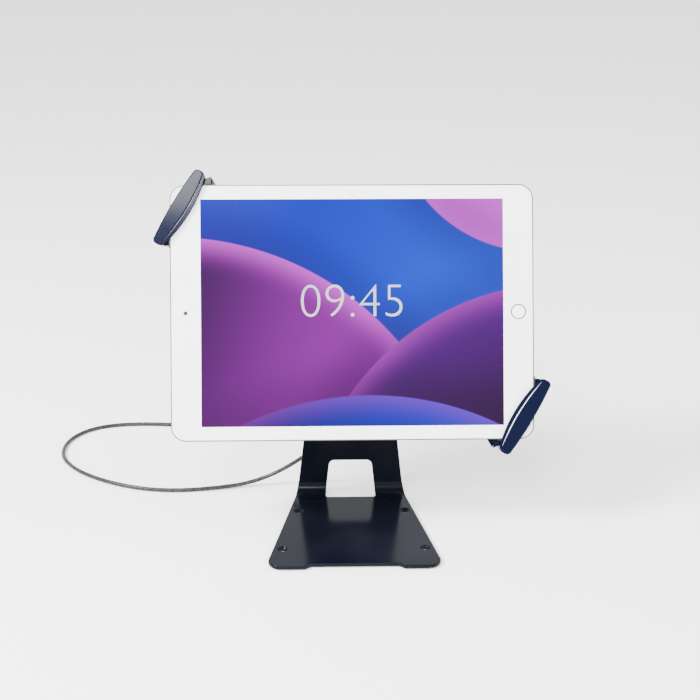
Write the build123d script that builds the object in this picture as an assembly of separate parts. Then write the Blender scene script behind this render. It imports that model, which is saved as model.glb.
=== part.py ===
from build123d import *
import math
import os

# Counter stand that clamps a tablet by two opposite corners, in millimetres.
# X runs to the user's right, Y away from the user, Z up.
# The origin lies on the counter under the middle of the base.

# shares
socket_share = 0.6
arc_share = 0.45
half_share = 0.5
near_share = 0.75
tail_fall_share = 1.8
tiny_share = 1e-9
dedendum_share = 1.25
coil_start_share = 2.25
bend_wide_share = 0.681
neck_low_share = 0.633
neck_top_share = 0.413
recess_share = 0.486
fix_front_share = 0.8132
fix_rear_share = 0.6372
band_end_share = 0.6

# counts
coil_layers = 4
coil_half_turns = 5
coil_samples = 1600

# shared clearances and overruns
cut_over = 1.0
hole_gap = 0.05
run_gap = 0.05
face_gap = 0.1
slide_gap = 0.15

# folded steel stand
sheet_thick = 2.5
mat_thick = 0.8
mat_inset = 2.0
mat_corner = 6.0
mat_hole_radius = 3.2
base_long = 117.5
base_front_wide = 121.0
bend_wide = base_front_wide * bend_wide_share
neck_low_wide = base_front_wide * neck_low_share
neck_top_wide = base_front_wide * neck_top_share
neck_high = 130.0
bend_radius = 9.0
sheet_edge_round = 0.6
front_corner_radius = 9.0
top_corner_radius = 8.0
recess_deep = 3.5
recess_wide = base_front_wide * recess_share
recess_ramp = 4.1
window_low_wide = 37.4
window_top_wide = 31.0
window_high = 29.0
window_corner_radius = 4.0
window_foot_radius = 2.0
fix_hole_radius = 2.2
fix_sink_radius = 3.7
fix_front_apart = base_front_wide * fix_front_share
fix_rear_apart = base_front_wide * fix_rear_share
fix_front_in = 25.4
fix_rows_apart = 58.0
slot_wide = 3.2
slot_high = 7.2
slot_centre_high = 64.0
slot_side = 8.0
slot_corner = 1.2

# tilt hinge
lean_angle = 20.0
axis_high = 144.3
axis_ahead = 2.2
knuckle_wide = 18.0
knuckle_radius = 8.0
knuckle_foot_high = 30.0
washer_thick = 1.5
washer_radius = 7.5
ear_thick = 3.0
ear_radius = 8.0
ear_foot_deep = 5.0
bracket_low = 98.0
bolt_radius = 3.0
bolt_head_radius = 5.2
bolt_head_high = 3.6
bolt_socket_flats = 4.0
nut_flats = 10.0
nut_high = 5.0
bolt_tail = 1.2
bracket_screw_radius = 2.0
bracket_screw_head_radius = 3.8
bracket_screw_head_high = 2.1
bracket_screw_rows = 18.0
bracket_screw_apart = 13.0

# tablet
tablet_wide = 250.0
tablet_high = 176.0
tablet_thick = 7.5
tablet_corner = 10.3
tablet_back_round = 3.0
tablet_wall = 1.4
glass_thick = 0.9
glass_inset = 0.8
glass_proud = 0.15
screen_side_border = 20.9
screen_end_border = 9.9
screen_wide = tablet_wide - screen_side_border * 2
screen_high = tablet_high - screen_end_border * 2
screen_thick = 1.8
battery_side_room = 58.2
battery_end_room = 60.2
battery_wide = screen_wide - battery_side_room
battery_high = screen_high - battery_end_room
battery_thick = 3.0
board_wide = 26.0
board_end_room = 36.2
board_high = screen_high - board_end_room
board_thick = 1.2
board_gap = 6.0
home_radius = 5.3
home_inset = 10.5
home_sink = 0.3
home_long = 2.2
eye_radius = 1.4
eye_inset = 10.5
eye_thick = 0.4
rear_lens_radius = 4.0
rear_lens_inset = 15.0
key_long = 11.0
key_wide = 2.6
key_deep = 2.2
key_proud = 0.6
volume_first_in = 45.0
volume_pitch = 14.0
power_up = 22.0
port_long = 9.0
port_wide = 2.8
port_deep = 5.0

# jaws that grip two opposite corners
jaw_angle = 148.9
lip_long = 54.0
lip_top_wide = 9.0
lip_low_wide = 8.2
lip_belly_in = 3.6
lip_belly_out = 1.4
lip_top_cap = 2.7
lip_low_cap = 1.8
lip_angle = 58.4
lip_side = 6.6
lip_down = 16.1
lip_thick = 3.2
lip_chamfer = 0.7
lip_step = 1.1
lip_band = 3.3
band_chamfer = 0.5
lip_pad_thick = 0.8
lip_pad_inset = 1.2
edge_pad_thick = 0.8
jaw_plate_thick = 3.3
jaw_plate_gap = 0.3
gusset_long = 3.8
gusset_high = 5.2
low_gusset_long = 0.4
low_gusset_wide = 3.2
gusset_front = 1.5
low_post_long = 11.6
jaw_reach = 72.0
jaw_root_wide = 26.0
jaw_screw_radius = 2.0
jaw_screw_head_radius = 3.6
jaw_screw_head_high = 2.0
jaw_screw_long = 7.0
jaw_screw_first = 80.0
jaw_screw_apart = 24.0

# rack and pinion that keeps the jaws centred
gear_module = 1.0
gear_teeth = 16
gear_pressure = 20.0
gear_backlash = 0.12
gear_face_gap = 0.2
rack_wide = 7.75
rack_thick = 5.0
rack_inner = 34.0
rack_outer = 116.0
axle_radius = 2.0

# grip body
pad_thick = 1.5
back_pad_wide = 9.0
back_pad_long = 96.0
back_pad_corner = 3.0
back_pad_apart = 36.0
cover_thick = 2.0
house_half = 64.0
house_wide = 48.0
house_corner = 12.0
house_floor = 2.0
house_edge = 1.2
cover_screw_radius = 1.25
cover_screw_head_radius = 2.3
cover_screw_head_high = 1.2
cover_screw_long = 5.5
cover_screw_along = 54.0
cover_screw_side = 20.6

# key lock that bolts the rack
lock_pitches = 13
lock_body_radius = 7.5
lock_body_long = 14.5
lock_neck_radius = 6.2
lock_core_radius = 4.6
lock_core_proud = 0.4
lock_key_wide = 1.4
lock_key_high = 6.0
lock_key_deep = 5.0
cam_radius = 6.0
cam_thick = 1.8
cam_pin_radius = 1.0
cam_throw = 1.5
cam_half_turn = 45.0
bolt_bar_teeth = 4
bolt_bar_low = 6.2
bolt_bar_thick = 3.0
bolt_bar_gap = 0.25
bolt_bar_tooth = 2.0
cam_slot_gap = 0.1
cam_slot_long = 3.4

# swivel
hub_radius = 24.0
hub_thick = 3.7
rim_radius = 27.0
rim_thick = 2.0
ring_radius = 31.5
ring_lip_thick = 1.5
flange_thick = 3.0
disc_screw_radius = 1.5
disc_screw_head_radius = 2.8
disc_screw_head_high = 1.5
disc_screw_circle = 17.0
disc_screw_count = 4
ring_screw_radius = 1.0
ring_screw_head_radius = 1.9
ring_screw_head_high = 1.2
ring_screw_long = 6.0
ring_screw_count = 6
neck_to_axis = 9.9

# cable lock on the neck
cable_radius = 1.6
cable_lock_radius = 9.0
cable_lock_long = 22.0
cable_lock_nose_radius = 6.0
cable_lock_nose_long = 3.0
cable_core_radius = 5.0
cable_core_proud = 0.5
bar_stem_radius = 1.3
bar_long = 6.4
bar_wide = 2.4
bar_thick = 2.2
collar_radius = 11.0
collar_long = 7.0
collar_back = 5.0
boss_angle = 222.0
boss_radius = 3.6
boss_reach = 15.0
relief_long = 9.0
relief_tip_radius = 2.2

# security cable, laid on the counter
coil_inner_radius = 14.5
coil_gap = 0.5
tail_run = 16.0
cable_first_run = 13.0
ferrule_radius = 2.8
ferrule_long = 12.0
eye_bend_radius = 8.5
eye_long = 25.5
cable_route = [
    (-36.5, 69.5, 24.5),
    (-56.0, 72.5, 10.5),
    (-78.0, 69.0, 2.6),
    (-101.0, 63.5, 1.6),
    (-124.0, 59.0, 1.6),
    (-148.0, 59.5, 1.6),
    (-171.0, 66.5, 1.6),
    (-193.0, 79.0, 1.6),
    (-212.5, 96.0, 1.6),
    (-226.0, 117.0, 1.6),
    (-229.5, 138.0, 1.6),
    (-226.0, 158.0, 1.6),
    (-215.0, 176.0, 1.6),
    (-196.5, 187.0, 1.6),
    (-171.0, 190.0, 1.6),
    (-143.0, 188.0, 1.6),
    (-117.0, 186.5, 1.6),
]
cable_end = (-92.0, 186.5, 1.6)

# heights and places that follow from the sizes above
sheet_top = mat_thick + sheet_thick
front_y = -base_long / 2
rear_y = base_long / 2
neck_front_y = rear_y - sheet_thick
bend_y = neck_front_y - bend_radius
bend_top = sheet_top + bend_radius
fix_front_y = front_y + fix_front_in
fix_rear_y = fix_front_y + fix_rows_apart
axis_y = neck_front_y - axis_ahead

gear_radius = gear_module * gear_teeth / 2
tooth_pitch = math.pi * gear_module
addendum = gear_module
dedendum = gear_module * dedendum_share
rack_face = gear_radius + dedendum
rack_back = rack_face + rack_wide
lock_along = lock_pitches * tooth_pitch

# levels behind the front of the glass, along the grip's own normal
level_tablet = -tablet_thick
level_cover = level_tablet - pad_thick
level_house = level_cover - cover_thick
level_rack = level_house - face_gap
level_floor = level_rack - rack_thick - face_gap
level_house_back = level_floor - house_floor
level_rim = level_house_back - hub_thick
level_disc = level_rim - rim_thick
level_flange = level_disc - face_gap
level_flange_back = level_flange - flange_thick
level_axis = level_flange_back - neck_to_axis

lean = math.radians(lean_angle)
normal = Vector(0, -math.cos(lean), math.sin(lean))
tilt_axis = Vector(0, axis_y, axis_high)
glass_centre = tilt_axis - normal * level_axis
grip_place = Plane(origin=glass_centre, x_dir=(1, 0, 0), z_dir=normal).location
slide_turn = Rot(0, 0, jaw_angle)


def save(name, *solids):
    """Write one sub-part, moved to its place already, as a STEP file."""
    shape = solids[0] if len(solids) == 1 else Compound(children=list(solids))
    shape.label = name
    export_step(shape, f"parts/{name}.step")
    return shape


def in_grip(shape):
    """Place a shape drawn on the glass plane at the lean of the grip."""
    return shape.moved(grip_place)


def along_slide(shape):
    """Turn a shape drawn along X so that it lies along the jaws' slide."""
    return in_grip(shape.moved(slide_turn))


def rod(radius, low, high, x=0.0, y=0.0):
    """A cylinder along Z between two levels."""
    return Pos(x, y, low) * extrude(Circle(radius), high - low)


def block(x_size, y_size, low, high, x=0.0, y=0.0):
    """A box between two levels, centred on x and y."""
    return Pos(x, y, low) * extrude(Rectangle(x_size, y_size), high - low)


def rounded(x_size, y_size, corner, low, high, x=0.0, y=0.0):
    """A plate with round corners between two levels."""
    return Pos(x, y, low) * extrude(RectangleRounded(x_size, y_size, corner), high - low)


def prism(points, low, high):
    """A straight prism of an outline between two levels."""
    return slab(Plane.XY.offset(low), Polygon(*points, align=None), high - low)


def slab(plane, outline, thick):
    """Raise an outline off a plane, along the plane's normal."""
    return extrude(plane * outline, thick, dir=plane.z_dir)


def sunk_screw(radius, head_radius, head_high, long, socket):
    """A countersunk screw: its head's face lies on Z zero and its tip below."""
    head = Pos(0, 0, -head_high) * extrude(
        Circle(radius), head_high, taper=-math.degrees(math.atan((head_radius - radius) / head_high))
    )
    body = head + rod(radius, -long, -head_high)
    drive = Pos(0, 0, -head_high * socket_share) * extrude(RegularPolygon(socket, 6), head_high)
    return body - drive


def sunk_hole(radius, head_radius, head_high, deep):
    """The hole for a countersunk screw whose face lies on Z zero."""
    cone = Pos(0, 0, -head_high) * extrude(
        Circle(radius + hole_gap),
        head_high,
        taper=-math.degrees(math.atan((head_radius - radius) / head_high)),
    )
    mouth = rod(head_radius + hole_gap, 0, cut_over)
    return cone + rod(radius + hole_gap, -deep, -head_high) + mouth


def turned(shape):
    """The same shape turned half a turn about the grip's normal."""
    return shape.rotate(Axis.Z, 180)


def make_stand():
    """The stand: a tapered steel sheet folded up behind the base."""
    front = front_y
    half_front = base_front_wide / 2
    half_bend = bend_wide / 2
    dip = recess_wide / 2
    outline = Polygon(
        (-half_front, front), (-dip - recess_ramp, front), (-dip, front + recess_deep),
        (dip, front + recess_deep), (dip + recess_ramp, front), (half_front, front),
        (half_bend, bend_y), (-half_bend, bend_y), align=None,
    )
    corners = [v for v in outline.vertices() if abs(abs(v.X) - half_front) < hole_gap]
    outline = fillet(corners, front_corner_radius)
    base = slab(Plane.XY.offset(mat_thick), outline, sheet_thick)

    centre = (bend_y, bend_top)
    middle = bend_radius + sheet_thick / 2
    arc = CenterArc(centre, middle, -90, 90)
    path = Plane.YZ * arc
    first = Plane(origin=path @ 0, x_dir=(1, 0, 0), z_dir=path % 0) * Rectangle(bend_wide, sheet_thick)
    last = Plane(origin=path @ 1, x_dir=(1, 0, 0), z_dir=path % 1) * Rectangle(neck_low_wide, sheet_thick)
    bend = sweep([first, last], path=path, multisection=True)

    half_low = neck_low_wide / 2
    half_top = neck_top_wide / 2
    neck_line = Polygon(
        (-half_low, bend_top), (half_low, bend_top), (half_top, neck_high), (-half_top, neck_high),
        align=None,
    )
    tops = [v for v in neck_line.vertices() if v.Y > bend_top + cut_over]
    neck_line = fillet(tops, top_corner_radius)
    neck = slab(Plane.XZ.offset(-rear_y), neck_line, sheet_thick)
    stand = base + bend + neck
    rims = [e for e in stand.edges() if is_rim(e)]
    stand = fillet(rims, sheet_edge_round)

    window_line = Polygon(
        (-window_low_wide / 2, 0), (window_low_wide / 2, 0),
        (window_top_wide / 2, window_high), (-window_top_wide / 2, window_high), align=None,
    )
    window_tops = [v for v in window_line.vertices() if v.Y > cut_over]
    window_line = fillet(window_tops, window_corner_radius)
    window_deep = rear_y + cut_over - bend_y
    window = slab(Plane.XZ.offset(-rear_y - cut_over), window_line, window_deep)
    feet = [e for e in window.edges()
            if abs(e.center().Y - bend_y) < hole_gap and abs(e.center().X) > window_top_wide / 2]
    window = fillet(feet, window_foot_radius)
    stand = stand - window

    for apart, row in ((fix_front_apart, fix_front_y), (fix_rear_apart, fix_rear_y)):
        for side in (-1, 1):
            hole = sunk_hole(fix_hole_radius - hole_gap, fix_sink_radius - hole_gap,
                             fix_sink_radius - fix_hole_radius, sheet_thick + cut_over)
            stand = stand - Pos(side * apart / 2, row, sheet_top) * hole
    for x, z in bracket_screw_places():
        hole = sunk_hole(bracket_screw_radius, bracket_screw_head_radius, bracket_screw_head_high,
                         sheet_thick + cut_over)
        stand = stand - Pos(x, rear_y, z) * Rot(-90, 0, 0) * hole
    slot = Pos(slot_side, slot_centre_high) * RectangleRounded(slot_wide, slot_high, slot_corner)
    return stand - slab(Plane.XZ.offset(-rear_y - cut_over), slot, sheet_thick + cut_over * 2)


def is_rim(edge):
    """True for the sheet's outer edges, not its seams at the bend or across its thickness."""
    if edge.length < sheet_thick + hole_gap:
        return False
    middle = edge.center()
    if edge.geom_type != GeomType.LINE or abs((edge % 0).X) < 1 - tiny_share:
        return True
    return middle.Y < front_y + recess_deep + hole_gap or middle.Z > neck_high - hole_gap


def bracket_screw_places():
    """Where the four screws of the tilt bracket cross the neck."""
    middle = (bracket_low + neck_high) / 2
    half_x = bracket_screw_apart / 2
    half_z = bracket_screw_rows / 2
    return [(x, middle + z) for x in (-half_x, half_x) for z in (-half_z, half_z)]


def make_mat():
    """Thin rubber mat under the base, with a hole below each screw hole."""
    front = front_y + recess_deep + mat_inset
    back = bend_y - mat_inset
    slope = (base_front_wide - bend_wide) / 2 / (bend_y - front_y)
    half_front = base_front_wide / 2 - slope * (front - front_y) - mat_inset
    half_back = bend_wide / 2 + slope * mat_inset - mat_inset
    outline = Polygon((-half_front, front), (half_front, front), (half_back, back), (-half_back, back),
                      align=None)
    mat = slab(Plane.XY, fillet(outline.vertices(), mat_corner), mat_thick)
    for apart, row in ((fix_front_apart, fix_front_y), (fix_rear_apart, fix_rear_y)):
        for side in (-1, 1):
            mat = mat - rod(mat_hole_radius, -cut_over, mat_thick + cut_over, side * apart / 2, row)
    return mat


ear_inside = knuckle_wide / 2 + washer_thick + face_gap


def make_bracket():
    """The bracket screwed to the neck, whose two ears carry the tilt bolt."""
    plate_wide = (ear_inside + ear_thick) * 2
    side = Polygon(
        (neck_front_y, bracket_low), (neck_front_y, neck_high + face_gap),
        (axis_y + ear_radius, neck_high + face_gap), (axis_y + ear_radius, axis_high),
        (axis_y - ear_radius, axis_high),
        (neck_front_y - ear_foot_deep, bracket_low), align=None,
    )
    round_top = Pos(axis_y, axis_high) * Circle(ear_radius)
    side = side + round_top
    ears = [slab(Plane.YZ.offset(x), side, ear_thick) for x in (ear_inside, -ear_inside - ear_thick)]
    plate_line = Polygon(
        (-plate_wide / 2, bracket_low), (plate_wide / 2, bracket_low),
        (plate_wide / 2, neck_high), (-plate_wide / 2, neck_high), align=None,
    )
    plate = slab(Plane.XZ.offset(-neck_front_y), plate_line, ear_thick)
    bracket = plate + ears[0] + ears[1]
    for x, z in bracket_screw_places():
        hole = rod(bracket_screw_radius + hole_gap, -ear_thick - cut_over, cut_over)
        bracket = bracket - Pos(x, neck_front_y, z) * Rot(-90, 0, 0) * hole
    return bracket - along_bolt(rod(bolt_radius + hole_gap, -plate_wide, plate_wide))


def along_bolt(shape):
    """Lay a shape drawn along Z on the tilt axis, its zero in the middle."""
    return Pos(0, axis_y, axis_high) * Rot(0, 90, 0) * shape


def make_bracket_screws():
    """Four countersunk screws through the neck into the bracket."""
    long = sheet_thick + ear_thick
    screw = sunk_screw(bracket_screw_radius, bracket_screw_head_radius, bracket_screw_head_high,
                       long, bracket_screw_radius)
    return [Pos(x, rear_y, z) * Rot(-90, 0, 0) * screw for x, z in bracket_screw_places()]


bolt_seat = ear_inside + ear_thick


def make_tilt_bolt():
    """Cap screw across the ears; its head is on the user's right."""
    head = rod(bolt_head_radius, bolt_seat, bolt_seat + bolt_head_high)
    head = head + rod(bolt_radius, -bolt_seat - nut_high - bolt_tail, bolt_seat)
    top = bolt_seat + bolt_head_high
    socket = Pos(0, 0, top - bolt_head_high * socket_share) * extrude(
        RegularPolygon(bolt_socket_flats / 2, 6, major_radius=False), bolt_head_high)
    return along_bolt(head - socket)


def make_tilt_nut():
    """Locking nut on the other end of the tilt bolt."""
    nut = extrude(RegularPolygon(nut_flats / 2, 6, major_radius=False), nut_high)
    nut = Pos(0, 0, -bolt_seat - nut_high) * nut
    return along_bolt(nut - rod(bolt_radius + hole_gap, -bolt_seat - nut_high - cut_over, 0))


def make_washers():
    """Two friction washers, one on each side of the knuckle."""
    bore = rod(bolt_radius + hole_gap, -cut_over, washer_thick + cut_over)
    ring = rod(washer_radius, 0, washer_thick) - bore
    start = ear_inside - washer_thick
    return [along_bolt(Pos(0, 0, z) * ring) for z in (start, -ear_inside)]


def make_tilt_head():
    """Round flange that carries the swivel, with the knuckle behind it."""
    flange = rod(ring_radius, level_flange_back, level_flange)
    half = knuckle_foot_high / 2
    cheek = Polygon(
        (-half, level_flange_back), (half, level_flange_back),
        (knuckle_radius, level_axis), (-knuckle_radius, level_axis), align=None,
    )
    cheek = cheek + Pos(0, level_axis) * Circle(knuckle_radius)
    knuckle = slab(Plane.YZ.offset(-knuckle_wide / 2), cheek, knuckle_wide)
    bore_line = Pos(0, level_axis) * Circle(bolt_radius + run_gap)
    bore = slab(Plane.YZ.offset(-knuckle_wide), bore_line, knuckle_wide * 2)
    head = flange + knuckle - bore
    for x, y in ring_screw_places():
        head = head - Pos(x, y, level_flange_back) * Rot(180, 0, 0) * sunk_hole(
            ring_screw_radius, ring_screw_head_radius, ring_screw_head_high, flange_thick + cut_over)
    return in_grip(head)


def circle_places(radius, count, first=0.0):
    """Points evenly spaced round the swivel's axis."""
    angles = [first + math.tau * i / count for i in range(count)]
    return [(radius * math.cos(a), radius * math.sin(a)) for a in angles]


def ring_screw_places():
    """Screws sit in the middle of the ring's wall."""
    return circle_places((ring_radius + rim_radius + run_gap) / 2, ring_screw_count)


def disc_screw_places():
    """Screws that hold the swivel disc on the grip body."""
    return circle_places(disc_screw_circle, disc_screw_count, math.pi / disc_screw_count)


ring_front = level_rim + face_gap + ring_lip_thick


def make_swivel_ring():
    """Ring that traps the swivel disc's rim against the flange."""
    ring = rod(ring_radius, level_flange, ring_front)
    ring = ring - rod(rim_radius + slide_gap, level_flange - cut_over, level_rim + face_gap)
    ring = ring - rod(hub_radius + slide_gap, level_rim, ring_front + cut_over)
    for x, y in ring_screw_places():
        ring = ring - rod(ring_screw_radius + hole_gap, level_flange - cut_over,
                          level_flange_back + ring_screw_long + face_gap, x, y)
    return in_grip(ring)


def make_ring_screws():
    """Small countersunk screws through the flange into the ring."""
    screw = sunk_screw(ring_screw_radius, ring_screw_head_radius, ring_screw_head_high,
                       ring_screw_long, ring_screw_radius)
    return [in_grip(Pos(x, y, level_flange_back) * Rot(180, 0, 0) * screw) for x, y in ring_screw_places()]


def make_swivel_disc():
    """Stepped disc on the back of the grip body, which turns in the ring."""
    disc = rod(hub_radius, level_rim, level_house_back) + rod(rim_radius, level_disc, level_rim)
    for x, y in disc_screw_places():
        disc = disc - Pos(x, y, level_disc) * Rot(180, 0, 0) * sunk_hole(
            disc_screw_radius, disc_screw_head_radius, disc_screw_head_high,
            hub_thick + rim_thick + cut_over)
    return along_slide(disc)


def make_disc_screws():
    """Countersunk screws through the swivel disc into the grip body."""
    long = hub_thick + rim_thick + house_floor - face_gap
    screw = sunk_screw(disc_screw_radius, disc_screw_head_radius, disc_screw_head_high,
                       long, disc_screw_radius)
    return [along_slide(Pos(x, y, level_disc) * Rot(180, 0, 0) * screw) for x, y in disc_screw_places()]


bolt_bar_wide = bolt_bar_teeth * tooth_pitch
rack_tip = gear_radius - addendum
channel_side = rack_tip - slide_gap
channel_back = rack_back + slide_gap


def make_house():
    """Cast grip body: two rack channels, pinion pocket and lock pocket."""
    house = rounded(house_half * 2, house_wide, house_corner, level_house_back, level_house)
    back_edges = house.edges().group_by(Axis.Z)[0]
    house = chamfer(back_edges, house_edge)
    channel_wide = channel_back - channel_side
    inner_end = rack_inner + cut_over
    long = inner_end + house_half + cut_over
    channel = block(long, channel_wide, level_floor, level_house + cut_over,
                    (house_half + cut_over - inner_end) / 2, (channel_side + channel_back) / 2)
    house = house - channel - turned(channel)
    house = house - rod(gear_radius + addendum + gear_face_gap, level_floor, level_house + cut_over)
    pocket_low = -bolt_bar_low - slide_gap
    pocket_high = channel_side + cut_over
    house = house - block(bolt_bar_wide + slide_gap * 2, pocket_high - pocket_low, level_floor,
                          level_house + cut_over, lock_along, (pocket_low + pocket_high) / 2)
    house = house - rod(lock_neck_radius + hole_gap, level_house_back - cut_over, level_house, lock_along)
    house = house - rod(axle_radius + hole_gap, level_house_back - cut_over, level_house)
    for x, y in disc_screw_places():
        house = house - rod(disc_screw_radius + hole_gap, level_house_back - cut_over,
                            level_floor + cut_over, x, y)
    for x, y in cover_screw_places():
        house = house - rod(cover_screw_radius + hole_gap, level_cover - cover_screw_long - face_gap,
                            level_house + cut_over, x, y)
    return along_slide(house)


def cover_screw_places():
    """The four corners of the cover."""
    return [(x * cover_screw_along, y * cover_screw_side) for x in (-1, 1) for y in (-1, 1)]


def make_cover():
    """Flat steel cover between the grip body and the tablet."""
    cover = rounded(house_half * 2, house_wide, house_corner, level_house, level_cover)
    cover = cover - rod(axle_radius + hole_gap, level_house - cut_over, level_cover + cut_over)
    for x, y in cover_screw_places():
        cover = cover - Pos(x, y, level_cover) * sunk_hole(
            cover_screw_radius, cover_screw_head_radius, cover_screw_head_high, cover_thick + cut_over)
    return along_slide(cover)


def make_cover_screws():
    """Countersunk screws that close the grip body."""
    screw = sunk_screw(cover_screw_radius, cover_screw_head_radius, cover_screw_head_high,
                       cover_screw_long, cover_screw_radius)
    return [along_slide(Pos(x, y, level_cover) * screw) for x, y in cover_screw_places()]


def make_back_pads():
    """Rubber strips on which the tablet's back rests."""
    return [
        along_slide(rounded(back_pad_long, back_pad_wide, back_pad_corner, level_cover, level_tablet,
                            0, y * back_pad_apart / 2))
        for y in (-1, 1)
    ]


def tooth_row(first, count, tip, root, pitch_line, half_thick, up=1):
    """Straight teeth that rise from the root line to the tip line."""
    slope = math.tan(math.radians(gear_pressure))
    points = []
    for i in range(count):
        middle = first + i * tooth_pitch
        at_root = half_thick + (pitch_line - root) * up * slope
        at_tip = half_thick + (pitch_line - tip) * up * slope
        points += [(middle - at_root, root), (middle - at_tip, tip)]
        points += [(middle + at_tip, tip), (middle + at_root, root)]
    return points


def make_rack():
    """Toothed bar that carries one jaw; its teeth face the pinion."""
    half = tooth_pitch / 4 - gear_backlash / 2
    first = -math.floor((rack_inner - tooth_pitch) / tooth_pitch) * tooth_pitch + tooth_pitch / 2
    last = lock_along + (bolt_bar_teeth / 2 + 1) * tooth_pitch
    count = math.floor((last - first) / tooth_pitch) + 1
    teeth = tooth_row(first, count, rack_tip, rack_face, gear_radius, half, -1)
    outline = [(-rack_inner, rack_back), (-rack_inner, rack_face)] + teeth
    outline += [(rack_outer, rack_face), (rack_outer, rack_back)]
    bar = prism(outline, level_rack - rack_thick, level_rack)
    for x in jaw_screw_places():
        bar = bar - rod(jaw_screw_radius + hole_gap, level_rack - jaw_screw_long, level_rack + cut_over,
                        x, (rack_face + rack_back) / 2)
    return bar.moved(slide_turn)


def jaw_screw_places():
    """How far along the slide the jaw's two screws sit."""
    return (jaw_screw_first, jaw_screw_first + jaw_screw_apart)


def involute(base, radius):
    """How far an involute from a base circle has turned at a radius."""
    return math.sqrt((radius / base) ** 2 - 1) - math.acos(base / radius)


def make_pinion():
    """Sixteen involute teeth between the two racks."""
    base = gear_radius * math.cos(math.radians(gear_pressure))
    tip = gear_radius + addendum - gear_face_gap / 2
    root = gear_radius - dedendum
    half = (math.pi / 2 - gear_backlash / gear_module / 2) / gear_teeth
    half_base = half + involute(base, gear_radius)
    flank_steps = 5
    radii = [base + (tip - base) * i / flank_steps for i in range(flank_steps + 1)]
    flank = [(root, half_base)] + [(r, half_base - involute(base, r)) for r in radii]
    outline = []
    for tooth in range(gear_teeth):
        middle = math.pi / 2 + math.tau * tooth / gear_teeth
        side = [(r, middle - a) for r, a in flank] + [(r, middle + a) for r, a in reversed(flank)]
        outline += [(r * math.cos(a), r * math.sin(a)) for r, a in side]
    gear = prism(outline, level_floor + gear_face_gap, level_rack)
    bore = rod(axle_radius + run_gap, level_floor - cut_over, level_rack + cut_over)
    return along_slide(gear - bore)


def make_axle():
    """Pin between floor and cover on which the pinion turns."""
    return along_slide(rod(axle_radius, level_house_back, level_cover))


lip_mid = Vector(-tablet_wide / 2 + lip_side, tablet_high / 2 - lip_down)


def lip_face(inset=0.0, band=0.0):
    """The lens-shaped front of a jaw, on the glass plane; a band cuts its inner side back."""
    cut = band * band_end_share
    half = lip_long / 2 - inset
    top = lip_top_wide / 2 - inset
    low = lip_low_wide / 2 - inset
    mean = (top + low) / 2
    lens = make_face(
        ThreePointArc((-half, cut - low), (0, band - mean - lip_belly_in), (half, cut - top))
        + ThreePointArc((half, cut - top), (half + lip_top_cap, cut / 2), (half, top))
        + ThreePointArc((half, top), (0, mean + lip_belly_out), (-half, low))
        + ThreePointArc((-half, low), (-half - lip_low_cap, cut / 2), (-half, cut - low))
    )
    return Pos(lip_mid.X, lip_mid.Y) * Rot(0, 0, lip_angle) * lens


def tablet_line(gap=0.0):
    """The tablet's outline, grown by a gap."""
    return RectangleRounded(tablet_wide + gap * 2, tablet_high + gap * 2, tablet_corner + gap)


jaw_plate_top = level_tablet - jaw_plate_gap


def chamfered(face, small_face, low, high, slope):
    """A plate of one outline whose upper edge slopes in to a smaller one."""
    plate = Pos(0, 0, low) * extrude(face, high - low - slope)
    return plate + loft([Pos(0, 0, high - slope) * face, Pos(0, 0, high) * small_face], ruled=True)


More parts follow.
